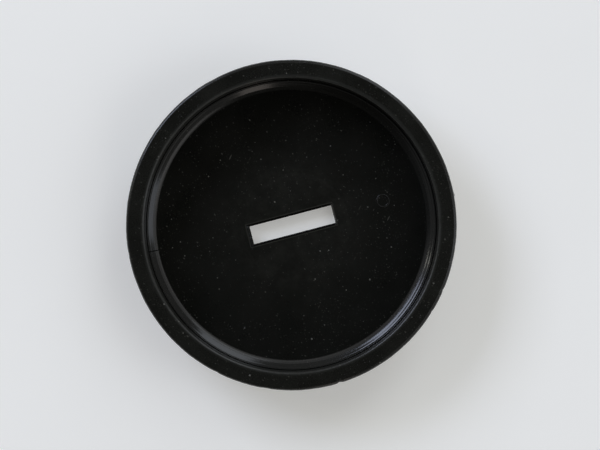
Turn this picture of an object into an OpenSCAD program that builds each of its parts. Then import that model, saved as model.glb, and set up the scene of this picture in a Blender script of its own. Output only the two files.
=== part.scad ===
// Round cable grommet for a desk top: a flanged liner, a split retaining ring
// that lifts out of it, and a slotted disc that turns in the ring.
// Millimetres, +Z up. The origin is at the centre of the liner's bottom face.
// At rest the slot runs along X.

/* [Desk hole] */
// Diameter of the hole that the liner drops into
desk_hole_d = 28.6; // [24:0.1:60]
// Gap all round between the sleeve and the hole
hole_gap = 0.1; // [0.05:0.05:0.4]

/* [Liner] */
// Height from the bottom face to the top of the rim
liner_h = 7; // [5:0.5:40]
// Thickness of the sleeve's wall
sleeve_wall = 0.58; // [0.5:0.02:2]
// How far the rim reaches out past the sleeve
flange_reach = 1.15; // [0.8:0.05:5]
// Thickness of the rim
flange_t = 1.2; // [0.8:0.1:3]
// Radius on the rim's inner top edge
rim_inner_round = 0.3; // [0.1:0.05:0.5]
// Radius on the rim's outer top edge
rim_outer_round = 0.3; // [0.1:0.05:0.6]
// Radius on the rim's lower outer edge
rim_under_round = 0.12; // [0.02:0.02:0.2]
// Chamfer at the foot of the sleeve, which leads it into the hole
lead_in = 0.35; // [0.1:0.05:0.4]
// Thickness of the inner ledge that the ring sits on
ledge_t = 0.5; // [0.4:0.1:2]
// How far the ledge reaches into the bore
ledge_reach = 1.3; // [0.8:0.1:2]

/* [Retaining ring] */
// Gap all round between the ring and the liner's bore
ring_gap = 0.04; // [0.02:0.01:0.1]
// Width of the ring that shows around the disc
ring_w = 0.93; // [0.8:0.01:1.6]
// Thickness of the foot under the disc's edge
ring_foot_t = 0.35; // [0.3:0.05:1]
// How far the foot reaches under the disc
ring_foot_reach = 0.5; // [0.3:0.05:0.7]
// Thickness of the ring's inner edge over the disc
ring_edge_t = 0.13; // [0.1:0.01:0.3]
// Radius of the coved face that rises from that edge
cove_round = 1.45; // [1.2:0.05:2]
// Slope of the coved face where it leaves that edge
cove_start_deg = 12; // [5:1:16]
// Radius of the rounded lip on top of the ring
lip_round = 0.05; // [0.03:0.01:0.1]
// Height of the lip's centre above the disc's face
lip_rise = 0.7; // [0.6:0.05:0.9]
// Width of the split
split_w = 0.08; // [0.05:0.01:0.5]
// Place of the split, counted from +X
split_deg = 176; // [0:1:360]

/* [Slotted disc] */
// Gap all round between the disc and the ring
disc_gap = 0.08; // [0.02:0.01:0.1]
// Thickness of the disc's edge, which runs in the ring's groove
disc_t = 0.6; // [0.4:0.05:1.5]
// Depth of the groove from the ring's inner edge
groove_depth = 0.3; // [0.2:0.02:0.36]
// Play above the disc in the groove
groove_play = 0.05; // [0.02:0.01:0.1]
// Radius on the disc's upper edge
disc_round = 0.06; // [0.02:0.01:0.1]
// Diameter of the thicker pad under the slot
pad_d = 10; // [9:0.5:12]
// How far the pad stands down from the disc
pad_t = 0.3; // [0.1:0.05:0.4]
// Length of the slot
slot_l = 7.9; // [4:0.1:8.3]
// Width of the slot
slot_w = 1.7; // [1:0.1:4]
// Width of the 45 degree bevel round the slot at the disc's face
slot_bevel = 0.2; // [0.05:0.05:0.3]

/* [Hidden] */
$fn = 192;
eps = 0.01;
clear = 1;                                       // how far a cut runs past what it cuts

// Liner, from the desk hole inwards and outwards
sleeve_r = desk_hole_d / 2 - hole_gap;
bore_r = sleeve_r - sleeve_wall;
rim_r = sleeve_r + flange_reach;
ledge_r = bore_r - ledge_reach;

// Ring, seated on the ledge and guided by the bore
ring_r = bore_r - ring_gap;
ring_inner_r = ring_r - ring_w;
foot_r = ring_inner_r - ring_foot_reach;
groove_r = ring_inner_r + groove_depth;
foot_top_z = ledge_t + ring_foot_t;

// Disc, carried by the ring's foot
disc_r = groove_r - disc_gap;
hub_r = foot_r - disc_gap;
face_z = foot_top_z + disc_t;
groove_top_z = face_z + groove_play;
pad_z = ledge_t - pad_t;

// The cove's centre, placed so that its arc starts at the top of the ring's inner edge
cove_r = ring_inner_r - cove_round * sin(cove_start_deg);
cove_z = groove_top_z + ring_edge_t + cove_round * cos(cove_start_deg);
lip_r = ring_r - lip_round;
lip_z = face_z + lip_rise;

// A band of the profile plane, from radius r0 to r1 and height z0 to z1
module band(r0, r1, z0, z1) {
    translate([r0, z0]) square([r1 - r0, z1 - z0]);
}

// What a rounded corner takes off: the corner at the origin, the solid towards +X and +Y
module corner_waste(radius) {
    difference() {
        translate([-clear, -clear]) square(radius + clear);
        translate([radius, radius]) circle(radius);
        translate([radius, -clear]) square(radius + 2 * clear);
        translate([-clear, radius]) square(radius + 2 * clear);
    }
}

// What a 45 degree chamfer takes off the lower outer corner of the sleeve
module lead_in_waste() {
    polygon([
        [sleeve_r - lead_in, 0],
        [sleeve_r - lead_in, -clear],
        [sleeve_r + clear, -clear],
        [sleeve_r + clear, lead_in],
        [sleeve_r, lead_in]
    ]);
}

module liner_profile() {
    difference() {
        union() {
            band(bore_r, sleeve_r, 0, liner_h);
            band(bore_r, rim_r, liner_h - flange_t, liner_h);
            band(ledge_r, bore_r + eps, 0, ledge_t);
        }
        translate([bore_r, liner_h]) mirror([0, 1]) corner_waste(rim_inner_round);
        translate([rim_r, liner_h]) mirror([1, 0]) mirror([0, 1]) corner_waste(rim_outer_round);
        translate([rim_r, liner_h - flange_t]) mirror([1, 0]) corner_waste(rim_under_round);
        lead_in_waste();
    }
}

module liner() {
    color([0.09, 0.09, 0.085]) rotate_extrude() liner_profile();
}

module ring_profile() {
    difference() {
        union() {
            band(foot_r, ring_r, ledge_t, foot_top_z);
            band(groove_r, ring_r, ledge_t, groove_top_z + eps);
            band(ring_inner_r, ring_r, groove_top_z, lip_z);
        }
        translate([cove_r, cove_z]) circle(cove_round);
    }
    translate([lip_r, lip_z]) circle(lip_round);
}

module retaining_ring() {
    color([0.06, 0.06, 0.06]) difference() {
        rotate_extrude() ring_profile();
        rotate([0, 0, split_deg]) translate([foot_r - clear, -split_w / 2, 0])
            cube([ring_r - foot_r + 2 * clear, split_w, liner_h]);
    }
}

module disc_profile() {
    difference() {
        union() {
            band(0, pad_d / 2, pad_z, face_z);
            band(0, hub_r, ledge_t, face_z);
            band(0, disc_r, foot_top_z, face_z);
        }
        translate([disc_r, face_z]) mirror([1, 0]) mirror([0, 1]) corner_waste(disc_round);
    }
}

// One pair of the slot's walls, upright with a bevel on top, extruded across the slot
module slot_channel(width, across) {
    half = width / 2;
    rotate([90, 0, 0]) translate([0, 0, -across / 2]) linear_extrude(across) polygon([
        [-half - slot_bevel - clear, face_z + clear],
        [-half, face_z - slot_bevel],
        [-half, pad_z - clear],
        [half, pad_z - clear],
        [half, face_z - slot_bevel],
        [half + slot_bevel + clear, face_z + clear]
    ]);
}

module slotted_disc() {
    color([0.04, 0.04, 0.038]) difference() {
        rotate_extrude() disc_profile();
        intersection() {
            slot_channel(slot_l, slot_w + 4 * clear);
            rotate([0, 0, 90]) slot_channel(slot_w, slot_l + 4 * clear);
        }
    }
}

liner();
retaining_ring();
slotted_disc();
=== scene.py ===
"""Desk cable grommet: a matte flanged liner, a glossy split retaining ring and a slotted disc.

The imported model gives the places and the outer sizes. This script makes the finished surfaces
round it, in metres and in the same frame, with procedural plastics, a pale floor and soft lights.
"""

import bmesh
import bpy
import numpy as np
from bpy.props import FloatProperty, FloatVectorProperty, IntProperty, PointerProperty
from bpy.types import Operator, Panel, PropertyGroup
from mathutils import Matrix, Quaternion, Vector


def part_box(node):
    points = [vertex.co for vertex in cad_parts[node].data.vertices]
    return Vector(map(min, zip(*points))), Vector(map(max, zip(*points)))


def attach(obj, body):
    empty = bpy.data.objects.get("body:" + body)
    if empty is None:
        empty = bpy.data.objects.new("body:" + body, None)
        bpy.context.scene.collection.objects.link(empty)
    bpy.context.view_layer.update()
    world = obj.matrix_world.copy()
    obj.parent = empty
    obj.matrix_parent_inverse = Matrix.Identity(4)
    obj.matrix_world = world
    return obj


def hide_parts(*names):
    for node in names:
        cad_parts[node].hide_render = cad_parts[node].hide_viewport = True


bl_info = {
    "name": "Desk grommet",
    "version": (1, 0, 0),
    "blender": (4, 5, 0),
    "location": "3D View > Sidebar > Grommet",
    "description": "Builds a desk cable grommet from its liner, retaining ring and slotted disc",
    "category": "Object",
}

MM = 0.001
FINE_ROUND = 0.04 * MM  # radius on the small edges
PLASTIC_IOR = 1.46
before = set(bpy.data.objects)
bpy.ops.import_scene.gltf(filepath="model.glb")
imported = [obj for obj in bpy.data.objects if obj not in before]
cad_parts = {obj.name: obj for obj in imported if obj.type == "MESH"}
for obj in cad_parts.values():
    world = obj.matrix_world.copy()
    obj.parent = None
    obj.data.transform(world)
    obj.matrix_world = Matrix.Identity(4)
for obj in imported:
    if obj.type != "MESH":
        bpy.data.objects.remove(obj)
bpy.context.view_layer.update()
_, LINER_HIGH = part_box("liner")
RING_LOW, RING_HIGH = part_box("retaining_ring")
DISC_LOW, DISC_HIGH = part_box("slotted_disc")


# ---------------------------------------------------------------- settings


def length(label, note, millimetres):
    """A length setting, shown in the scene's units and given here in millimetres."""
    return FloatProperty(
        name=label, description=note, default=millimetres * MM, unit="LENGTH", precision=5
    )


def angle(label, note, degrees):
    """An angle setting, given here in degrees."""
    return FloatProperty(
        name=label, description=note, default=np.radians(degrees), subtype="ANGLE"
    )


def factor(label, note, value):
    """A setting from 0 to 1."""
    return FloatProperty(
        name=label, description=note, default=value, min=0.0, max=1.0, subtype="FACTOR"
    )


def colour(label, note, red, green, blue):
    """A colour setting."""
    return FloatVectorProperty(
        name=label, description=note, default=(red, green, blue), min=0.0, max=1.0,
        subtype="COLOR", size=3,
    )


class GrommetLinerSettings(PropertyGroup):
    """Settings of the liner."""

    ring_gap: length("Ring gap", "Gap all round between the retaining ring and the bore", 0.04)
    wall: length("Sleeve wall", "Thickness of the sleeve's wall", 0.58)
    flange: length("Rim thickness", "Thickness of the rim", 1.2)
    ledge: length("Ledge reach", "How far the ledge reaches into the bore", 1.3)
    inner_round: length("Inner round", "Radius on the rim's inner top edge", 0.25)
    outer_round: length("Outer round", "Radius on the rim's outer top edge", 0.3)
    under_round: length("Under round", "Radius on the rim's lower outer edge", 0.12)
    lead_in: length("Lead-in", "Chamfer at the foot of the sleeve", 0.35)
    edge_wave: length("Edge wave", "How far the rim's outer edge strays from a circle", 0.02)
    edge_chatter: length("Edge chatter", "Size of the short ripples round the rim's edge", 0.014)
    nick: length("Nick depth", "Depth of the deepest nick in the rim's outer edge", 0.06)
    nub: length("Gate nub", "How far the gate's stub stands out of the rim", 0.09)
    nub_angle: angle("Gate place", "Where the gate's stub is, from +X", -4.0)


class GrommetRingSettings(PropertyGroup):
    """Settings of the retaining ring."""

    width: length("Visible width", "Width of the ring that shows round the disc", 0.93)
    foot: length("Foot thickness", "Thickness of the foot under the disc's edge", 0.35)
    foot_reach: length("Foot reach", "How far the foot reaches under the disc", 0.5)
    groove: length("Groove depth", "Depth of the groove that holds the disc's edge", 0.3)
    play: length("Groove play", "Play above the disc in the groove", 0.05)
    edge: length("Edge thickness", "Thickness of the ring's inner edge over the disc", 0.13)
    cove: length("Cove radius", "Radius of the main cove", 1.3)
    cove_start: angle("Cove start", "Slope of the main cove at the ring's inner edge", 7.0)
    step_place: factor("Step place", "Where the second cove starts across the face", 0.76)
    step_cove: length("Step cove radius", "Radius of the second cove", 0.45)
    step_start: angle("Step start", "Slope of the second cove where it starts", 19.0)
    lip: length("Lip radius", "Radius of the rounded lip on top", 0.05)
    line_depth: length("Line depth", "Depth of the fine turned line in the main cove", 0.009)
    line_width: length("Line width", "Width of the turned line", 0.07)
    line_place: factor("Line place", "Where the turned line is across the face", 0.42)
    split: length("Split", "Width of the ring's split", 0.08)
    split_angle: angle("Split place", "Where the split is, from +X", 176.0)


class GrommetDiscSettings(PropertyGroup):
    """Settings of the disc, its slot and its marks."""

    gap: length("Hub gap", "Gap all round between the disc's hub and the ring's foot", 0.08)
    edge_round: length("Edge round", "Radius on the disc's upper edge", 0.06)
    slot_length: length("Slot length", "Length of the slot", 7.9)
    slot_width: length("Slot width", "Width of the slot", 1.7)
    bevel: length("Bevel width", "Width of the bevel round the slot", 0.2)
    bevel_shift: length("Bevel shift", "How far the slot stands off the middle of its bevel", 0.1)
    burr: length("Burr", "Height of the fine raised edge round the bevel", 0.015)
    ragged: length("Ragged edge", "How far the slot's edges stray from straight", 0.022)
    slot_corner: length("Slot corner", "Radius of the slot's corners", 0.06)
    pad: length("Pad radius", "Radius of the thicker pad under the slot", 5.0)
    sink: length("Sink mark", "Depth of the faint ring that the pad leaves on the face", 0.012)
    mark: length("Mould mark", "Outer radius of the round cavity mark", 0.66)
    mark_place: length("Mould mark place", "Distance of the cavity mark from the axis", 8.86)


class GrommetFinishSettings(PropertyGroup):
    """Settings of the plastics, dust, wear and painted light."""

    matte: colour("Matte plastic", "Colour of the liner", 0.0112, 0.0112, 0.0090)
    gloss: colour("Gloss plastic", "Colour of the retaining ring", 0.0130, 0.0130, 0.0108)
    face: colour("Disc plastic", "Colour of the disc", 0.0092, 0.0094, 0.0076)
    # The dust colour also serves for the disc's painted light and painted highlight.
    dust: colour("Dust", "Colour of the settled dust", 0.165, 0.160, 0.130)
    # Painted highlight and wear: this paler colour goes on the rim's rounded edges.
    pale_edge: colour("Worn and highlighted edge", "Colour of the worn rim edges with their painted highlight", 0.13, 0.132, 0.118)


class GrommetStageSettings(PropertyGroup):
    """Settings of the floor, the camera and the fineness of the pieces."""

    floor: colour("Floor", "Colour of the floor", 0.83, 0.825, 0.795)
    floor_glow: factor("Floor glow", "Light that the floor gives off, as a light table does", 0.33)
    camera_height: length("Camera height", "Height of the camera above the floor", 475.0)
    view_width: length("View width", "Width of floor that the camera sees", 56.48)
    view_shift: length("View shift", "How far right of the part the camera stands", 0.80)
    roll: angle("Camera roll", "Turn of the camera about its line of sight", -14.7)
    segments: IntProperty(
        name="Segments", description="Steps round each turned piece", default=512, min=64
    )


# ---------------------------------------------------------------- shapes


def arc(centre, radius, start, end, steps):
    """Points on a circular arc in the profile plane: centre plus radius times (cos, sin)."""
    turn = np.radians(np.linspace(start, end, steps + 1))
    return np.stack([centre[0] + radius * np.cos(turn), centre[1] + radius * np.sin(turn)], 1)


HOLD = 0.02 * MM  # distance of a straight stretch's holding points from its ends
HANDOVER = 0.014 * MM  # width of the change from the ring's first cove to its second
FACE_POINTS = 96  # points across the ring's face
NUB_WIDTH, NUB_DROP, NUB_HEIGHT = 0.16 * MM, 0.55 * MM, 0.22 * MM  # gate nub, drop from the top
SINK_X, SINK_Y, SINK_WIDTH = 0.42 * MM, -0.25 * MM, 0.16 * MM  # centre and width of the sink mark
RIDGE_Y, RIDGE_WIDTH, RIDGE_LENGTH = 0.85 * MM, 0.07 * MM, 3.4 * MM  # sink line beside the slot
RIDGE_SHARE = 0.4  # depth of that line against the sink mark's
SLOT_ZONE = 5.9 * MM  # radius where the loops round the slot have become circles
BURR_WIDTH = 0.03 * MM
PAD_FILLET = 0.1 * MM  # radius where the pad meets the disc's underside


def straight(start, end, steps=1):
    """Points from start to end, in even steps, with one more point close inside each end."""
    start, end = np.array(start, float), np.array(end, float)
    share = min(HOLD / max(np.linalg.norm(end - start), HOLD), 0.3)
    inner = np.linspace(share, 1 - share, steps + 1)
    places = np.concatenate([[0.0], inner, [1.0]])
    return start + places[:, None] * (end - start)


def outline(*stretches):
    """One closed profile from stretches that meet end to end, without its doubled points."""
    points = np.vstack(stretches)
    step = np.linalg.norm(points - np.roll(points, 1, 0), axis=1)
    return points[step > 1e-8]


def grid_mesh(name, points, wrap_round, caps=False):
    """A mesh from an array of points [step round, point of the profile, xyz].

    The profile is a closed loop. The way round closes on itself, or ends in two flat caps.
    """
    around, along = points.shape[:2]
    i = np.arange(around if wrap_round else around - 1)[:, None]
    j = np.arange(along)[None, :]
    next_i, next_j = (i + 1) % around, (j + 1) % along
    corners = [i * along + j, next_i * along + j, next_i * along + next_j, i * along + next_j]
    faces = np.stack(np.broadcast_arrays(*corners), -1).reshape(-1, 4).tolist()
    if caps:
        faces.append(list(range(along)))
        faces.append(list(range((around - 1) * along, around * along)))
    mesh = bpy.data.meshes.new(name)
    mesh.from_pydata(points.reshape(-1, 3).tolist(), [], faces)
    return finish_mesh(mesh)


def finish_mesh(mesh):
    """Turns every face outwards and shades it smooth, apart from the sharp edges."""
    work = bmesh.new()
    work.from_mesh(mesh)
    bmesh.ops.recalc_face_normals(work, faces=work.faces)
    work.to_mesh(mesh)
    work.free()
    mesh.polygons.foreach_set("use_smooth", np.ones(len(mesh.polygons), bool))
    mesh.set_sharp_from_angle(angle=np.radians(38))
    mesh.update()
    return mesh


def turned(profile, angles):
    """The profile carried round Z: x = r cos(angle), y = r sin(angle), z = z."""
    radius, height = profile[:, 0], profile[:, 1]
    return np.stack(
        [
            np.outer(np.cos(angles), radius),
            np.outer(np.sin(angles), radius),
            np.broadcast_to(height, (len(angles), len(height))),
        ],
        -1,
    )


def full_circle(count):
    """Angles that go once round in even steps, without the last, which is the first again."""
    return np.linspace(0, 2 * np.pi, count, endpoint=False)


def bump(distance, width):
    """A smooth hump, exp(-(distance / width) squared)."""
    return np.exp(-((distance / width) ** 2))


def wander(angles, waves, seed):
    """A smooth random line round a circle between about -1 and 1: a sum of sines."""
    draw = np.random.default_rng(seed)
    phases = draw.uniform(0, 2 * np.pi, len(waves))
    weights = draw.uniform(0.5, 1.0, len(waves))
    line = sum(w * np.sin(k * angles + p) for k, w, p in zip(waves, weights, phases))
    return line / weights.sum()


def nicks(angles, radius, depth, count, seed):
    """Small dents round a circle: a sum of humps of random place, width and depth."""
    draw = np.random.default_rng(seed)
    places = draw.uniform(-np.pi, np.pi, count)
    widths = draw.uniform(0.08, 0.3, count) * MM
    depths = depth * draw.uniform(0, 1, count) ** 3
    away = (angles[:, None] - places + np.pi) % (2 * np.pi) - np.pi
    return (depths * bump(away * radius, widths)).sum(1)


def coved_face(s, inner, outer, height):
    """The ring's face, as points from its inner edge out to its lip.

    The height is the running sum of tan(slope) over the radius. In each of the two coves the
    slope grows with the distance from the cove's start: sin(slope) = sin(first slope) +
    distance / cove radius. A narrow S-curve hands over from the first cove to the second.
    """
    radius = np.linspace(inner, outer - 1.7 * s.lip, FACE_POINTS)
    width = radius[-1] - inner
    step = inner + s.step_place * width
    first = np.sin(s.cove_start) + (radius - inner) / s.cove
    second = np.sin(s.step_start) + (radius - step) / s.step_cove
    handover = 1 / (1 + np.exp(-(radius - step) / HANDOVER))
    climb = np.tan(np.arcsin(first + (second - first) * handover))
    rise = np.cumsum((climb[1:] + climb[:-1]) / 2 * np.diff(radius))
    heights = height + np.concatenate([[0.0], rise])
    heights -= s.line_depth * bump(radius - inner - s.line_place * width, s.line_width / 2)
    return np.stack([radius, heights], 1)


def new_piece(name, mesh, node, body, material):
    """Links the mesh as a piece that rides on a body in place of a CAD node."""
    piece = bpy.data.objects.new(name, mesh)
    bpy.context.scene.collection.objects.link(piece)
    piece.data.materials.append(material)
    if node:
        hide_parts(node)
    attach(piece, body)
    return piece


# ---------------------------------------------------------------- materials


def add_node(tree, kind, **values):
    """Adds a node. Each value sets the input of that name, or else the property."""
    node = tree.nodes.new(kind)
    for key, value in values.items():
        label = key.replace("_", " ").title()
        if label in node.inputs:
            node.inputs[label].default_value = value
        else:
            setattr(node, key, value)
    return node


def noise(tree, vector, **values):
    """A noise texture on the given coordinates."""
    node = add_node(tree, "ShaderNodeTexNoise", **values)
    tree.links.new(vector, node.inputs["Vector"])
    return node


def components(tree, vector):
    """The X, Y and Z outputs of a vector."""
    node = tree.nodes.new("ShaderNodeSeparateXYZ")
    tree.links.new(vector, node.inputs[0])
    return node.outputs


def calculate(tree, operation, first, second=None, third=None, clamp=False):
    """One Math node. Each operand is a number or the output of another node."""
    node = tree.nodes.new("ShaderNodeMath")
    node.operation = operation
    node.use_clamp = clamp
    for socket, operand in zip(node.inputs, (first, second, third)):
        if operand is None:
            continue
        if isinstance(operand, (int, float)):
            socket.default_value = operand
        else:
            tree.links.new(operand, socket)
    return node.outputs[0]


def remap(tree, value, low, high, new_low=0.0, new_high=1.0, smooth=True):
    """Spreads low to high over new_low to new_high, held at the ends."""
    node = tree.nodes.new("ShaderNodeMapRange")
    node.interpolation_type = "SMOOTHSTEP" if smooth else "LINEAR"
    tree.links.new(value, node.inputs["Value"])
    for name, number in (
        ("From Min", low), ("From Max", high), ("To Min", new_low), ("To Max", new_high)
    ):
        if isinstance(number, (int, float)):
            node.inputs[name].default_value = number
        else:
            tree.links.new(number, node.inputs[name])
    return node.outputs["Result"]


def new_group(name, inputs, outputs):
    """A shader node group with named float or vector inputs and float outputs."""
    tree = bpy.data.node_groups.new(name, "ShaderNodeTree")
    for label, kind, value in inputs:
        socket = tree.interface.new_socket(label, in_out="INPUT", socket_type=kind)
        if kind == "NodeSocketFloat":
            socket.default_value = value
    for label in outputs:
        tree.interface.new_socket(label, in_out="OUTPUT", socket_type="NodeSocketFloat")
    return tree, tree.nodes.new("NodeGroupInput"), tree.nodes.new("NodeGroupOutput")


def use_group(tree, group, vector, **values):
    """Places a group in a material, on the given coordinates and with its own values."""
    node = tree.nodes.new("ShaderNodeGroup")
    node.node_tree = group
    tree.links.new(vector, node.inputs["Vector"])
    for key, value in values.items():
        node.inputs[key.replace("_", " ").capitalize()].default_value = value
    return node


def grain_group():
    """Moulded grain: two sizes of noise, as a height and as a slow change of shade."""
    tree, inside, outside = new_group(
        "Moulded grain",
        [("Vector", "NodeSocketVector", None), ("Grain size", "NodeSocketFloat", 0.1)],
        ["Height", "Shade"],
    )
    scale = calculate(tree, "DIVIDE", 1 / MM, inside.outputs["Grain size"])
    fine = noise(tree, inside.outputs["Vector"], detail=3.0, roughness=0.6)
    tree.links.new(scale, fine.inputs["Scale"])
    slow = noise(tree, inside.outputs["Vector"], scale=260.0, detail=4.0, roughness=0.55)
    tree.links.new(fine.outputs["Fac"], outside.inputs["Height"])
    tree.links.new(slow.outputs["Fac"], outside.inputs["Shade"])
    return tree


def dust_group():
    """Settled dust: specks at random on the faces that look up, drawn out if Stretch is over 1."""
    tree, inside, outside = new_group(
        "Settled dust",
        [
            ("Vector", "NodeSocketVector", None),
            ("Spacing", "NodeSocketFloat", 1.0),
            ("Amount", "NodeSocketFloat", 0.4),
            ("Speck size", "NodeSocketFloat", 0.08),
            ("Turn", "NodeSocketFloat", 0.0),
            ("Stretch", "NodeSocketFloat", 1.0),
        ],
        ["Mask"],
    )
    scale = calculate(tree, "DIVIDE", 1 / MM, inside.outputs["Spacing"])
    warp = noise(tree, inside.outputs["Vector"], scale=9000.0, detail=1.0)
    shift = add_node(tree, "ShaderNodeVectorMath", operation="MULTIPLY_ADD")
    tree.links.new(warp.outputs["Color"], shift.inputs[0])
    shift.inputs[1].default_value = (0.06 * MM, 0.06 * MM, 0.0)
    tree.links.new(inside.outputs["Vector"], shift.inputs[2])
    turned_way = add_node(tree, "ShaderNodeVectorRotate", rotation_type="Z_AXIS")
    tree.links.new(shift.outputs[0], turned_way.inputs["Vector"])
    tree.links.new(inside.outputs["Turn"], turned_way.inputs["Angle"])
    squeeze = tree.nodes.new("ShaderNodeCombineXYZ")
    tree.links.new(calculate(tree, "DIVIDE", 1.0, inside.outputs["Stretch"]), squeeze.inputs["X"])
    squeeze.inputs["Y"].default_value = 1.0
    squeezed = add_node(tree, "ShaderNodeVectorMath", operation="MULTIPLY")
    tree.links.new(turned_way.outputs["Vector"], squeezed.inputs[0])
    tree.links.new(squeeze.outputs[0], squeezed.inputs[1])
    cells = add_node(tree, "ShaderNodeTexVoronoi", voronoi_dimensions="2D")
    tree.links.new(squeezed.outputs[0], cells.inputs["Vector"])
    tree.links.new(scale, cells.inputs["Scale"])
    chance = tree.nodes.new("ShaderNodeSeparateColor")
    tree.links.new(cells.outputs["Color"], chance.inputs["Color"])
    size = calculate(tree, "DIVIDE", inside.outputs["Speck size"], inside.outputs["Spacing"])
    varied = calculate(tree, "MULTIPLY_ADD", chance.outputs["Green"], 0.8, 0.2)
    radius = calculate(tree, "MULTIPLY", size, varied)
    inner = calculate(tree, "MULTIPLY", radius, 0.45)
    spot = remap(tree, cells.outputs["Distance"], radius, inner)
    drift = noise(tree, inside.outputs["Vector"], scale=330.0, detail=3.0, roughness=0.6)
    clump = remap(tree, drift.outputs["Fac"], 0.36, 0.66, 0.2, 1.8)
    share = calculate(tree, "MULTIPLY", inside.outputs["Amount"], clump)
    kept = calculate(tree, "LESS_THAN", chance.outputs["Red"], share)
    strength = calculate(tree, "POWER", chance.outputs["Blue"], 2.2)
    strength = calculate(tree, "MULTIPLY_ADD", strength, 0.88, 0.12)
    facing = tree.nodes.new("ShaderNodeNewGeometry")
    parts = components(tree, facing.outputs["Normal"])
    upward = remap(tree, parts["Z"], 0.6, 0.95)
    mask = calculate(tree, "MULTIPLY", spot, kept)
    mask = calculate(tree, "MULTIPLY", mask, strength)
    mask = calculate(tree, "MULTIPLY", mask, upward)
    tree.links.new(mask, outside.inputs["Mask"])
    return tree


def radius_of(tree, vector):
    """Distance of the point from the Z axis."""
    parts = components(tree, vector)
    flat = tree.nodes.new("ShaderNodeCombineXYZ")
    tree.links.new(parts["X"], flat.inputs["X"])
    tree.links.new(parts["Y"], flat.inputs["Y"])
    size = add_node(tree, "ShaderNodeVectorMath", operation="LENGTH")
    tree.links.new(flat.outputs[0], size.inputs[0])
    return size.outputs["Value"]


def lines_group():
    """Turned lines: fine waves in the distance from the axis, as a cutter leaves in a mould."""
    tree, inside, outside = new_group(
        "Turned lines",
        [("Vector", "NodeSocketVector", None), ("Pitch", "NodeSocketFloat", 0.1)],
        ["Height"],
    )
    radius = radius_of(tree, inside.outputs["Vector"])
    stray = noise(tree, inside.outputs["Vector"], scale=180.0, detail=2.0)
    shifted = calculate(tree, "MULTIPLY_ADD", stray.outputs["Fac"], 0.04 * MM, radius)
    turns = calculate(tree, "DIVIDE", shifted, inside.outputs["Pitch"])
    phase = calculate(tree, "MULTIPLY", turns, 2 * np.pi / MM)
    wave = calculate(tree, "SINE", phase)
    uneven = add_node(tree, "ShaderNodeTexNoise", noise_dimensions="1D", scale=9000.0, detail=2.0)
    tree.links.new(radius, uneven.inputs["W"])
    height = calculate(tree, "MULTIPLY", wave, uneven.outputs["Fac"])
    tree.links.new(height, outside.inputs["Height"])
    return tree


def edge_band_group():
    """Edge band: a ragged band at one distance from the axis, for the rim's worn edges and their
    painted highlight.
    """
    tree, inside, outside = new_group(
        "Edge band",
        [
            ("Vector", "NodeSocketVector", None),
            ("Edge radius", "NodeSocketFloat", 10.0),
            ("Edge width", "NodeSocketFloat", 0.3),
        ],
        ["Mask"],
    )
    radius = radius_of(tree, inside.outputs["Vector"])
    stray = noise(tree, inside.outputs["Vector"], scale=1500.0, detail=4.0, roughness=0.7)
    edge = calculate(tree, "MULTIPLY", inside.outputs["Edge radius"], MM)
    width = calculate(tree, "MULTIPLY", inside.outputs["Edge width"], MM)
    away = calculate(tree, "ABSOLUTE", calculate(tree, "SUBTRACT", radius, edge))
    ragged = calculate(tree, "MULTIPLY", width, calculate(tree, "ADD", stray.outputs["Fac"], 0.4))
    mask = remap(tree, away, ragged, 0.0)
    tree.links.new(mask, outside.inputs["Mask"])
    return tree


def slot_edge_group():
    """Slot edge: a thin ragged line round the slot, and the band between it and the slot."""
    tree, inside, outside = new_group(
        "Slot edge",
        [
            ("Vector", "NodeSocketVector", None),
            ("Half length", "NodeSocketFloat", 4.0),
            ("Half width", "NodeSocketFloat", 1.0),
            ("Line width", "NodeSocketFloat", 0.07),
        ],
        ["Line", "Band"],
    )
    parts = components(tree, inside.outputs["Vector"])
    away = []
    for axis, half in (("X", "Half length"), ("Y", "Half width")):
        reach = calculate(tree, "ABSOLUTE", parts[axis])
        edge = calculate(tree, "MULTIPLY", inside.outputs[half], MM)
        away.append(calculate(tree, "SUBTRACT", reach, edge))
    away = calculate(tree, "MAXIMUM", *away)
    stray = noise(tree, inside.outputs["Vector"], scale=2600.0, detail=3.0, roughness=0.7)
    width = calculate(tree, "MULTIPLY", inside.outputs["Line width"], MM)
    ragged = calculate(tree, "MULTIPLY", width, calculate(tree, "ADD", stray.outputs["Fac"], 0.5))
    line = remap(tree, calculate(tree, "ABSOLUTE", away), ragged, 0.0)
    tree.links.new(line, outside.inputs["Line"])
    tree.links.new(remap(tree, away, 0.0, -0.04 * MM), outside.inputs["Band"])
    return tree


def plastic(name, specular):
    """An empty plastic material: its tree, its shader and its object coordinates."""
    material = bpy.data.materials.new(name)
    material.use_nodes = True
    tree = material.node_tree
    shader = tree.nodes["Principled BSDF"]
    shader.inputs["IOR"].default_value = PLASTIC_IOR
    shader.inputs["Specular IOR Level"].default_value = specular
    place = tree.nodes.new("ShaderNodeTexCoord").outputs["Object"]
    return material, tree, shader, place


def blend_colour(tree, amount, under, over):
    """Mixes two colours by a mask. Each is a colour or the output of another node."""
    node = add_node(tree, "ShaderNodeMix", data_type="RGBA")
    tree.links.new(amount, node.inputs["Factor"])
    for socket, value in ((node.inputs[6], under), (node.inputs[7], over)):
        if isinstance(value, tuple):
            socket.default_value = value
        else:
            tree.links.new(value, socket)
    return node.outputs[2]


def raise_surface(tree, shader, heights):
    """Chains Bump nodes, one for each (height, distance in metres), into the shader's Normal."""
    below = None
    for height, distance in heights:
        node = add_node(tree, "ShaderNodeBump", strength=1.0, distance=distance)
        tree.links.new(height, node.inputs["Height"])
        if below is not None:
            tree.links.new(below, node.inputs["Normal"])
        below = node.outputs["Normal"]
    tree.links.new(below, shader.inputs["Normal"])


def shade_pair(rgb, spread):
    """A darker and a lighter colour round one colour."""
    dark = tuple(c * (1 - spread) for c in rgb) + (1.0,)
    light = tuple(c * (1 + spread) for c in rgb) + (1.0,)
    return dark, light


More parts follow.
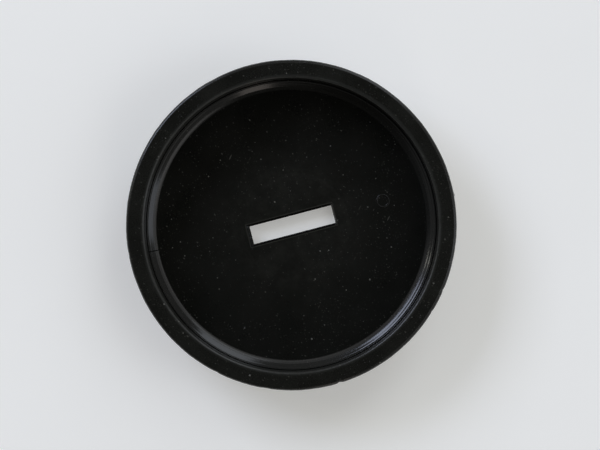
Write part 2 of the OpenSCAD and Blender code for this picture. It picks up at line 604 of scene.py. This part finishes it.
def lay_dust(tree, place, layers):
    """Several layers of dust in one mask. Each layer is its strength and the group's values."""
    total = None
    for strength, values in layers:
        mask = use_group(tree, GROUPS["dust"], place, **values).outputs["Mask"]
        mask = calculate(tree, "MULTIPLY", mask, strength)
        total = mask if total is None else calculate(tree, "MAXIMUM", total, mask)
    return total


FINE_DUST = (
    (0.20, {"Spacing": 0.24, "Amount": 0.32, "Speck_size": 0.07}),
    (0.26, {"Spacing": 0.50, "Amount": 0.40, "Speck_size": 0.08, "Turn": 0.9, "Stretch": 1.6}),
)
FIBRES = (0.30, {"Spacing": 1.0, "Amount": 0.24, "Speck_size": 0.07, "Turn": 2.3, "Stretch": 5.0})


def matte_plastic(finish, rim_radius, bore_radius):
    """The liner's matte moulded plastic, with rubbed rim edges that also carry a painted highlight, and
    settled dust.
    """
    material, tree, shader, place = plastic("matte_moulded_plastic", specular=0.42)
    grain = use_group(tree, GROUPS["grain"], place, Grain_size=0.11)
    outer = use_group(
        tree, GROUPS["rubbed"], place, Edge_radius=rim_radius / MM - 0.03, Edge_width=0.11
    )
    inner = use_group(
        tree, GROUPS["rubbed"], place, Edge_radius=bore_radius / MM + 0.16, Edge_width=0.34
    )
    specks = {"Spacing": 0.95, "Amount": 0.30, "Speck_size": 0.11}
    pale_mask = lay_dust(tree, place, ((1.0, specks), *FINE_DUST, FIBRES))
    dark, light = shade_pair(finish.matte, 0.45)
    mottled = calculate(tree, "MULTIPLY", grain.outputs["Height"], 2.0)
    mottled = calculate(tree, "MULTIPLY", mottled, grain.outputs["Shade"])
    base = blend_colour(tree, mottled, dark, light)
    edge = calculate(tree, "MAXIMUM", outer.outputs["Mask"], inner.outputs["Mask"])
    # Painted highlight and wear: the rim's inner and outer rounds are painted paler, partly for real
    # rubbing and partly for the bright lines that light draws on them.
    inner_wear_and_highlight = calculate(tree, "MULTIPLY", inner.outputs["Mask"], 0.10)
    outer_wear_and_highlight = calculate(tree, "MULTIPLY", outer.outputs["Mask"], 0.22)
    pale_edge = calculate(tree, "MAXIMUM", inner_wear_and_highlight, outer_wear_and_highlight)
    base = blend_colour(tree, pale_edge, base, tuple(finish.pale_edge) + (1.0,))
    base = blend_colour(tree, pale_mask, base, tuple(finish.dust) + (1.0,))
    tree.links.new(base, shader.inputs["Base Color"])
    smooth = calculate(tree, "MULTIPLY", edge, 0.06)
    rough = remap(tree, grain.outputs["Shade"], 0.3, 0.7, 0.18, 0.24)
    rough = calculate(tree, "ADD", rough, smooth)
    rough = calculate(tree, "MAXIMUM", rough, calculate(tree, "MULTIPLY", pale_mask, 0.9))
    tree.links.new(rough, shader.inputs["Roughness"])
    raise_surface(
        tree, shader, [(grain.outputs["Height"], 0.004 * MM), (pale_mask, 0.03 * MM)]
    )
    return material


def gloss_plastic(finish):
    """The ring's gloss plastic, with fine turned lines."""
    material, tree, shader, place = plastic("gloss_turned_plastic", specular=0.55)
    grain = use_group(tree, GROUPS["grain"], place, Grain_size=0.25)
    lines = use_group(tree, GROUPS["lines"], place, Pitch=0.11)
    specks = {"Spacing": 0.8, "Amount": 0.12, "Speck_size": 0.08}
    pale_mask = lay_dust(tree, place, ((0.7, specks), FINE_DUST[0]))
    dark, light = shade_pair(finish.gloss, 0.3)
    base = blend_colour(tree, grain.outputs["Shade"], dark, light)
    base = blend_colour(tree, pale_mask, base, tuple(finish.dust) + (1.0,))
    tree.links.new(base, shader.inputs["Base Color"])
    rough = remap(tree, grain.outputs["Shade"], 0.3, 0.7, 0.13, 0.18)
    tree.links.new(rough, shader.inputs["Roughness"])
    raise_surface(
        tree, shader, [(grain.outputs["Height"], 0.0003 * MM), (lines.outputs["Height"], 0.001 * MM)]
    )
    return material


def disc_plastic(finish, slot_length, slot_width):
    """The disc's plastic, darker than the liner's, with dust, turned lines, a painted paler middle and
    sink ring, a painted highlight line round the slot and painted shade on the bevel.
    """
    material, tree, shader, place = plastic("disc_plastic", specular=0.35)
    grain = use_group(tree, GROUPS["grain"], place, Grain_size=0.18)
    lines = use_group(tree, GROUPS["lines"], place, Pitch=0.16)
    specks = {"Spacing": 1.35, "Amount": 0.40, "Speck_size": 0.10}
    specks = lay_dust(tree, place, ((0.9, specks), *FINE_DUST, FIBRES))
    dark, light = shade_pair(finish.face, 0.3)
    base = blend_colour(tree, grain.outputs["Shade"], dark, light)
    radius = radius_of(tree, place)
    # Painted light: the face is painted paler towards the middle, fading to nothing 9.5 mm from the
    # axis.
    painted_light = remap(tree, radius, 9.5 * MM, 3.0 * MM, 0.0, 0.026)
    # Painted sheen: a paler ring over the sink mark 5 mm from the axis.
    off_ring = calculate(tree, "ABSOLUTE", calculate(tree, "SUBTRACT", radius, 5.0 * MM))
    painted_ring_sheen = remap(tree, off_ring, 1.1 * MM, 0.0, 0.0, 0.018)
    painted_ring_sheen = calculate(tree, "MULTIPLY", painted_ring_sheen, grain.outputs["Shade"])
    # Random patches that make the painted light uneven.
    painted_light_patches = noise(tree, place, scale=900.0, detail=6.0, roughness=0.7)
    uneven = remap(tree, painted_light_patches.outputs["Fac"], 0.35, 0.7, 0.4, 1.7)
    painted_light = calculate(tree, "MULTIPLY", calculate(tree, "ADD", painted_light, painted_ring_sheen), uneven)
    outline_of_slot = use_group(
        tree, GROUPS["slot_edge"], place,
        Half_length=slot_length / 2 / MM, Half_width=slot_width / 2 / MM, Line_width=0.06,
    )
    # Painted highlight: a thin pale line round the top of the slot's bevel.
    pale_edge = calculate(tree, "MULTIPLY", outline_of_slot.outputs["Line"], 0.20)
    # The pale mask mixes real dust specks with the painted light and painted highlight, all in the dust
    # colour.
    pale_mask = calculate(tree, "MAXIMUM", specks, painted_light)
    pale_mask = calculate(tree, "MAXIMUM", pale_mask, pale_edge)
    # Painted shade: the pale mask is kept off the bevel, so the bevel stays darker than the face.
    off_bevel = calculate(tree, "SUBTRACT", 1.0, outline_of_slot.outputs["Band"])
    pale_mask = calculate(tree, "MULTIPLY", pale_mask, off_bevel)
    base = blend_colour(tree, pale_mask, base, tuple(finish.dust) + (1.0,))
    tree.links.new(base, shader.inputs["Base Color"])
    rough = remap(tree, grain.outputs["Shade"], 0.3, 0.7, 0.16, 0.21)
    rough = calculate(tree, "MAXIMUM", rough, calculate(tree, "MULTIPLY", pale_mask, 0.9))
    tree.links.new(rough, shader.inputs["Roughness"])
    raise_surface(
        tree,
        shader,
        [
            (grain.outputs["Height"], 0.003 * MM),
            (lines.outputs["Height"], 0.0006 * MM),
            (specks, 0.03 * MM),
        ],
    )
    return material


GROUPS = {}


def make_groups():
    """Builds each shared shader group once."""
    GROUPS["grain"] = grain_group()
    GROUPS["dust"] = dust_group()
    GROUPS["lines"] = lines_group()
    GROUPS["rubbed"] = edge_band_group()
    GROUPS["slot_edge"] = slot_edge_group()


# ---------------------------------------------------------------- operators


class GROMMET_OT_liner(Operator):
    """Makes the flanged liner: rim, sleeve and inner ledge in one turned profile"""

    bl_idname = "grommet.liner"
    bl_label = "Liner"

    def execute(self, context):
        s = context.scene.grommet_liner
        rim, top = LINER_HIGH[0], LINER_HIGH[2]
        bore = RING_HIGH[0] + s.ring_gap
        sleeve = bore + s.wall
        ledge, ledge_top = bore - s.ledge, RING_LOW[2]
        under = top - s.flange
        edge = FINE_ROUND
        profile = outline(
            straight((ledge + edge, 0), (sleeve - s.lead_in, 0)),
            straight((sleeve - s.lead_in, 0), (sleeve, s.lead_in)),
            straight((sleeve, s.lead_in), (sleeve, under - edge), 6),
            arc((sleeve + edge, under - edge), edge, 180, 90, 3),
            straight((sleeve + edge, under), (rim - s.under_round, under)),
            arc((rim - s.under_round, under + s.under_round), s.under_round, -90, 0, 5),
            straight((rim, under + s.under_round), (rim, top - s.outer_round), 6),
            arc((rim - s.outer_round, top - s.outer_round), s.outer_round, 0, 90, 9),
            straight((rim - s.outer_round, top), (bore + s.inner_round, top), 6),
            arc((bore + s.inner_round, top - s.inner_round), s.inner_round, 90, 180, 12),
            straight((bore, top - s.inner_round), (bore, ledge_top + edge), 8),
            arc((bore - edge, ledge_top + edge), edge, 0, -90, 3),
            straight((bore - edge, ledge_top), (ledge + edge, ledge_top)),
            arc((ledge + edge, ledge_top - edge), edge, 90, 180, 3),
            straight((ledge, ledge_top - edge), (ledge, edge)),
            arc((ledge + edge, edge), edge, 180, 270, 3),
        )
        angles = full_circle(context.scene.grommet_stage.segments)
        points = turned(profile, angles)
        outside = np.clip((profile[:, 0] - sleeve) / (rim - sleeve), 0, 1) ** 4
        wave = s.edge_wave * wander(angles, (3, 5, 9, 17, 29, 43), seed=4)
        wave += s.edge_chatter * wander(angles, tuple(range(70, 240, 17)), seed=5)
        wave -= nicks(angles, rim, s.nick, count=34, seed=8)
        from_nub = (angles - s.nub_angle + np.pi) % (2 * np.pi) - np.pi
        nub = s.nub * bump(from_nub * rim, NUB_WIDTH)
        nub_height = bump(profile[:, 1] - (top - NUB_DROP), NUB_HEIGHT)
        grow = np.outer(wave, outside) + np.outer(nub, outside * nub_height)
        points[..., 0] += grow * np.cos(angles)[:, None]
        points[..., 1] += grow * np.sin(angles)[:, None]
        mesh = grid_mesh("liner_shell", points, wrap_round=True)
        material = matte_plastic(context.scene.grommet_finish, rim, bore)
        new_piece("liner_shell", mesh, "liner", "liner", material)
        return {"FINISHED"}


class GROMMET_OT_ring(Operator):
    """Makes the split retaining ring: foot, groove, coved face and rounded lip"""

    bl_idname = "grommet.ring"
    bl_label = "Retaining ring"

    def execute(self, context):
        s = context.scene.grommet_ring
        outer, bottom = RING_HIGH[0], RING_LOW[2]
        inner = outer - s.width
        foot, groove = inner - s.foot_reach, inner + s.groove
        foot_top, groove_top = bottom + s.foot, DISC_HIGH[2] + s.play
        edge = FINE_ROUND
        face = coved_face(s, inner, outer, groove_top + s.edge)
        end_slope = np.arctan2(*(face[-1] - face[-2])[::-1])
        lip_centre = face[-1] + s.lip * np.array([np.sin(end_slope), -np.cos(end_slope)])
        outer = lip_centre[0] + s.lip
        profile = outline(
            straight((foot + edge, bottom), (outer - edge, bottom)),
            arc((outer - edge, bottom + edge), edge, -90, 0, 3),
            straight((outer, bottom + edge), (outer, lip_centre[1]), 4),
            arc(lip_centre, s.lip, 0, 90 + np.degrees(end_slope), 10),
            face[::-1],
            straight((inner, groove_top + s.edge), (inner, groove_top)),
            straight((inner, groove_top), (groove, groove_top)),
            straight((groove, groove_top), (groove, foot_top)),
            straight((groove, foot_top), (foot + edge, foot_top)),
            arc((foot + edge, foot_top - edge), edge, 90, 180, 3),
            straight((foot, foot_top - edge), (foot, bottom + edge)),
            arc((foot + edge, bottom + edge), edge, 180, 270, 3),
        )
        half = s.split / 2 / outer
        angles = s.split_angle + np.linspace(
            half, 2 * np.pi - half, context.scene.grommet_stage.segments
        )
        mesh = grid_mesh("split_ring", turned(profile, angles), wrap_round=False, caps=True)
        material = gloss_plastic(context.scene.grommet_finish)
        new_piece("split_ring", mesh, "retaining_ring", "insert_ring", material)
        return {"FINISHED"}


def slot_outline(half_length, half_width, corner):
    """Points round a rectangle with round corners, from the middle of its right side.

    Every call gives the same number of points, so that outlines of two sizes can be joined.
    """
    long_steps, short_steps, corner_steps = 200, 48, 6
    dx, dy = half_length - corner, half_width - corner
    side = np.linspace(-1, 1, short_steps, endpoint=False)
    run = np.linspace(-1, 1, long_steps, endpoint=False)
    turn = np.linspace(0, np.pi / 2, corner_steps, endpoint=False)
    stretches = []
    for k, (sx, sy) in enumerate(((1, 1), (-1, 1), (-1, -1), (1, -1))):
        quarter = turn + k * np.pi / 2
        stretches.append(
            np.stack([sx * dx + corner * np.cos(quarter), sy * dy + corner * np.sin(quarter)], 1)
        )
    right = np.stack([np.full_like(side, half_length), side * dy], 1)
    above = np.stack([-run * dx, np.full_like(run, half_width)], 1)
    loop = np.vstack([right, stretches[0], above, stretches[1], -right, stretches[2], -above,
                      stretches[3]])
    return np.roll(loop, -(short_steps // 2), axis=0)


class GROMMET_OT_disc(Operator):
    """Makes the slotted disc: face, bevelled slot, edge, hub and the pad under the slot"""

    bl_idname = "grommet.disc"
    bl_label = "Slotted disc"

    def execute(self, context):
        s = context.scene.grommet_disc
        ring = context.scene.grommet_ring
        section = self.section(s, ring)
        share, grow, shift, radius, height = section.T
        outlines = np.stack([
            slot_outline(s.slot_length / 2 + g, s.slot_width / 2 + g, s.slot_corner + max(g, 0))
            for g in grow
        ], 1)
        step = np.linalg.norm(np.diff(outlines[:, -1], axis=0, append=outlines[:1, -1]), axis=1)
        turn = 2 * np.pi * np.concatenate([[0], np.cumsum(step)[:-1]]) / step.sum()
        circle = np.stack([np.cos(turn), np.sin(turn)], 1)
        flat = share[None, :, None] * outlines + (
            (1 - share)[None, :, None] * radius[None, :, None] * circle[:, None, :]
        )
        waves = tuple(range(11, 120, 9))
        stray = np.stack([wander(turn, waves, seed=21), wander(turn, waves, seed=22)], 1)
        flat += s.ragged * (share[None, :, None] ** 8) * stray[:, None, :]
        x, y = flat[..., 0] + (share * shift)[None, :], flat[..., 1]
        z = np.broadcast_to(height, x.shape).copy()
        face = DISC_HIGH[2]
        on_face = (np.abs(height - face) < 1e-9)[None, :]
        from_sink = np.hypot(x - SINK_X, y - SINK_Y) - s.pad
        z -= np.where(on_face, s.sink * bump(from_sink, SINK_WIDTH), 0)
        ridge = bump(y - s.slot_width / 2 - RIDGE_Y, RIDGE_WIDTH) * bump(x, RIDGE_LENGTH)
        z -= np.where(on_face, RIDGE_SHARE * s.sink * ridge, 0)
        mesh = grid_mesh("slotted_disc_body", np.stack([x, y, z], -1), wrap_round=True)
        reach = 2 * (s.bevel + 0.05 * MM)
        material = disc_plastic(
            context.scene.grommet_finish, s.slot_length + reach, s.slot_width + reach
        )
        new_piece("slotted_disc_body", mesh, "slotted_disc", "disc", material)
        self.cavity_mark(s, face, material)
        return {"FINISHED"}

    def section(self, s, ring):
        """The disc's section, from the slot's edge out over the face and back underneath.

        Each row is one loop round the disc: the share of the slot's outline in it against the
        circle's, how far the slot's outline is grown, its shift along X, the circle's radius,
        and the height.
        """
        face, pad_bottom = DISC_HIGH[2], DISC_LOW[2]
        edge, bottom = DISC_HIGH[0], RING_LOW[2]
        hub = RING_HIGH[0] - ring.width - ring.foot_reach - s.gap
        foot_top = bottom + ring.foot
        small = FINE_ROUND
        near = SLOT_ZONE
        burr = BURR_WIDTH

        def rows(share, grow, shift, radius, height):
            return np.stack(np.broadcast_arrays(share, grow, shift, radius, height), 1)

        profile = outline(
            straight((near, face), (edge - s.edge_round, face), 26)[1:],
            arc((edge - s.edge_round, face - s.edge_round), s.edge_round, 90, 0, 5),
            straight((edge, face - s.edge_round), (edge, foot_top + small)),
            arc((edge - small, foot_top + small), small, 0, -90, 3),
            straight((edge - small, foot_top), (hub, foot_top)),
            straight((hub, foot_top), (hub, bottom + small)),
            arc((hub - small, bottom + small), small, 0, -90, 3),
            straight((hub - small, bottom), (s.pad + PAD_FILLET, bottom), 8),
            arc((s.pad + PAD_FILLET, bottom - PAD_FILLET), PAD_FILLET, 90, 180, 4),
            straight((s.pad, bottom - PAD_FILLET), (s.pad, pad_bottom + small)),
            arc((s.pad - small, pad_bottom + small), small, 0, -90, 3),
        )
        inwards = np.linspace(0, 1, 16)[1:-1]
        rise = np.linspace(0, 1, 8)
        outwards = np.linspace(0, 1, 40)[1:]
        bevel = np.linspace(0, 1, 5)[1:]
        crest = np.linspace(0, np.pi, 7)[1:]
        return np.vstack([
            rows(1 - outwards, s.bevel + burr, 0.0, near, face),
            rows(0.0, 0.0, 0.0, profile[:, 0], profile[:, 1]),
            rows(inwards, 0.0, s.bevel_shift, s.pad - small, pad_bottom),
            rows(1.0, 0.0, s.bevel_shift, 0.0,
                 pad_bottom + (face - s.bevel - pad_bottom) * rise),
            rows(1.0, s.bevel * bevel, s.bevel_shift * (1 - bevel), 0.0,
                 face - s.bevel * (1 - bevel)),
            rows(1.0, s.bevel + burr * (1 - np.cos(crest)) / 2, 0.0, 0.0,
                 face + s.burr * np.sin(crest)),
        ])

    def cavity_mark(self, s, face, material):
        """A plain round mould mark: a low raised ring, its section half an oval."""
        height, sunk = 0.03 * MM, 0.02 * MM
        angles = full_circle(40)
        outer, inner = s.mark, s.mark - 0.2 * MM
        hump = arc(((outer + inner) / 2, 0), (outer - inner) / 2, 0, 180, 8)
        hump[:, 1] *= height / ((outer - inner) / 2)
        hump = np.vstack([hump, [[inner, -sunk], [outer, -sunk]]])
        ring = turned(hump, angles)
        ring += np.array([s.mark_place, 0, face])
        mesh = grid_mesh("cavity_mark", ring, wrap_round=True)
        new_piece("cavity_mark", mesh, None, "disc", material)


class GROMMET_OT_stage(Operator):
    """Sets the pale floor, the soft lights and the camera straight overhead"""

    bl_idname = "grommet.stage"
    bl_label = "Stage"

    def execute(self, context):
        s = context.scene.grommet_stage
        self.floor(s)
        self.surroundings(context.scene, s)
        for light in SOFTBOXES:
            self.softbox(s, *light)
        self.camera(context.scene, s)
        context.scene.view_settings.view_transform = "Standard"
        context.scene.view_settings.look = "None"
        return {"FINISHED"}

    def floor(self, s):
        """A flat square a little below the part's base."""
        half, height = 1.5, -0.01 * MM
        mesh = bpy.data.meshes.new("floor")
        corners = [(-half, -half, height), (half, -half, height), (half, half, height),
                   (-half, half, height)]
        mesh.from_pydata(corners, [], [(0, 1, 2, 3)])
        board = bpy.data.objects.new("floor", mesh)
        bpy.context.scene.collection.objects.link(board)
        material, tree, shader, place = plastic("floor_paint", specular=0.2)
        mottle = noise(tree, place, scale=140.0, detail=3.0)
        dark, light = shade_pair(s.floor, 0.012)
        tree.links.new(
            blend_colour(tree, mottle.outputs["Fac"], dark, light), shader.inputs["Base Color"]
        )
        shader.inputs["Roughness"].default_value = 0.6
        shader.inputs["Emission Color"].default_value = (*s.floor, 1.0)
        shader.inputs["Emission Strength"].default_value = s.floor_glow
        mesh.materials.append(material)

    def surroundings(self, scene, s):
        """A dim room with a bright ceiling round a dark hole, where the camera hangs.

        The ceiling is brightest on one side, and a dark curtain hangs on the other. A pale
        glow along the horizon outlines the part from the side.
        """
        world = bpy.data.worlds.new("studio")
        world.use_nodes = True
        tree = world.node_tree
        way = tree.nodes.new("ShaderNodeTexCoord").outputs["Generated"]
        parts = components(tree, way)
        bright_side = self.towards(tree, way, CEILING_AZIMUTH + s.roll)
        ceiling = remap(
            tree, bright_side, -CEILING_SPREAD, CEILING_SPREAD, CEILING_FAR, CEILING_NEAR,
            smooth=False,
        )
        level = remap(tree, parts["Z"], *CEILING_RISE, ROOM_LEVEL, ceiling)
        curtain_side = self.towards(tree, way, CURTAIN_AZIMUTH + s.roll)
        low = calculate(tree, "SUBTRACT", 1.0, parts["Z"])
        spread = calculate(tree, "MULTIPLY", low, CURTAIN_SPREAD, clamp=True)
        hem = calculate(tree, "MULTIPLY", spread, CURTAIN_HEM)
        curtain = remap(tree, curtain_side, hem, spread, 1.0, CURTAIN_LEVEL)
        hole = remap(tree, parts["Z"], *HOLE_RISE, 1.0, HOLE_LEVEL)
        glow = remap(tree, parts["Z"], *HORIZON_RISE, HORIZON_LEVEL, 0.0)
        level = calculate(tree, "MULTIPLY", level, curtain)
        level = calculate(tree, "ADD", level, glow)
        level = calculate(tree, "MULTIPLY", level, hole)
        tree.links.new(level, tree.nodes["Background"].inputs["Color"])
        scene.world = world

    def towards(self, tree, way, azimuth):
        """How far a direction leans to an azimuth: its dot product with that level line."""
        node = add_node(tree, "ShaderNodeVectorMath", operation="DOT_PRODUCT")
        tree.links.new(way, node.inputs[0])
        node.inputs[1].default_value = (np.cos(azimuth), np.sin(azimuth), 0.0)
        return node.outputs["Value"]

    def softbox(self, s, name, azimuth, elevation, width, height, tilt, radiance, tint):
        """An area light that faces the part from an azimuth, as the camera sees it, tilted in place."""
        turn, rise = np.radians(azimuth) + s.roll, np.radians(elevation)
        data = bpy.data.lights.new(name, "AREA")
        data.shape = "RECTANGLE"
        data.size, data.size_y = width, height
        data.energy, data.color = radiance * np.pi * width * height, tint
        light = bpy.data.objects.new(name, data)
        across = np.cos(rise)
        way = Vector((np.cos(turn) * across, np.sin(turn) * across, np.sin(rise)))
        place = way * LIGHT_DISTANCE
        light.location = place
        aim = (-place).to_track_quat("-Z", "Y")
        light.rotation_euler = (aim @ Quaternion((0, 0, 1), np.radians(tilt))).to_euler()
        bpy.context.scene.collection.objects.link(light)

    def camera(self, scene, s):
        """Straight above, rolled so that the slot rises to the right."""
        data = bpy.data.cameras.new("camera")
        data.sensor_width = 36.0
        data.lens = data.sensor_width * s.camera_height / s.view_width
        camera = bpy.data.objects.new("camera", data)
        right = Vector((np.cos(s.roll), np.sin(s.roll), 0))
        camera.location = right * s.view_shift + Vector((0, 0, s.camera_height))
        camera.rotation_euler = (0, 0, s.roll)
        scene.collection.objects.link(camera)
        scene.camera = camera


# The room's brightness. Each rise is the pair of heights, from 0 at the horizon to 1 overhead,
# between which that part of the room sets in or fades.
ROOM_LEVEL = 0.17
CEILING_AZIMUTH, CEILING_NEAR, CEILING_FAR = np.radians(30), 0.8, 0.35
CEILING_SPREAD, CEILING_RISE = 0.4, (0.76, 0.90)
CURTAIN_AZIMUTH, CURTAIN_LEVEL = np.radians(240), 0.12
CURTAIN_SPREAD, CURTAIN_HEM = 1.6, 0.78
HOLE_LEVEL, HOLE_RISE = 0.01, (0.935, 0.97)
HORIZON_LEVEL, HORIZON_RISE = 0.8, (0.04, 0.30)
LIGHT_DISTANCE = 0.9  # metres from the part to every softbox

# name, azimuth and elevation in degrees, width and height in metres, tilt in degrees, radiance,
# tint
SOFTBOXES = (
    ("key_softbox", 62, 36, 0.34, 0.75, 0.0, 1.85, (0.86, 0.92, 1.0)),
    ("side_softbox", -6, 36, 0.34, 0.65, 0.0, 1.35, (0.84, 0.90, 1.0)),
    ("blue_softbox", 138, 39, 0.44, 0.36, 20.0, 6.4, (0.72, 0.79, 1.0)),
    ("fill_softbox", 325, 52, 0.40, 0.40, 0.0, 0.5, (1.0, 0.98, 0.94)),
    ("warm_lamp", 285, 34, 0.17, 0.55, 0.0, 1.2, (1.0, 0.90, 0.82)),
    ("small_lamp", 165, 38, 0.05, 0.20, 0.0, 6.0, (1.0, 1.0, 0.88)),
)


class GROMMET_PT_build(Panel):
    """Shows a button for each piece and one for the stage"""

    bl_label = "Desk grommet"
    bl_space_type = "VIEW_3D"
    bl_region_type = "UI"
    bl_category = "Grommet"

    def draw(self, context):
        for kind in OPERATORS:
            self.layout.operator(kind.bl_idname)


OPERATORS = (GROMMET_OT_liner, GROMMET_OT_ring, GROMMET_OT_disc, GROMMET_OT_stage)
SETTINGS = {
    "grommet_liner": GrommetLinerSettings,
    "grommet_ring": GrommetRingSettings,
    "grommet_disc": GrommetDiscSettings,
    "grommet_finish": GrommetFinishSettings,
    "grommet_stage": GrommetStageSettings,
}


def register():
    for kind in (*SETTINGS.values(), *OPERATORS, GROMMET_PT_build):
        bpy.utils.register_class(kind)
    for name, kind in SETTINGS.items():
        setattr(bpy.types.Scene, name, PointerProperty(type=kind))


def unregister():
    for name in SETTINGS:
        delattr(bpy.types.Scene, name)
    for kind in reversed((*SETTINGS.values(), *OPERATORS, GROMMET_PT_build)):
        bpy.utils.unregister_class(kind)


def main():
    """Registers the classes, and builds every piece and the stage."""
    register()
    make_groups()
    bpy.ops.grommet.liner()
    bpy.ops.grommet.ring()
    bpy.ops.grommet.disc()
    bpy.ops.grommet.stage()


if __name__ == "__main__":
    main()
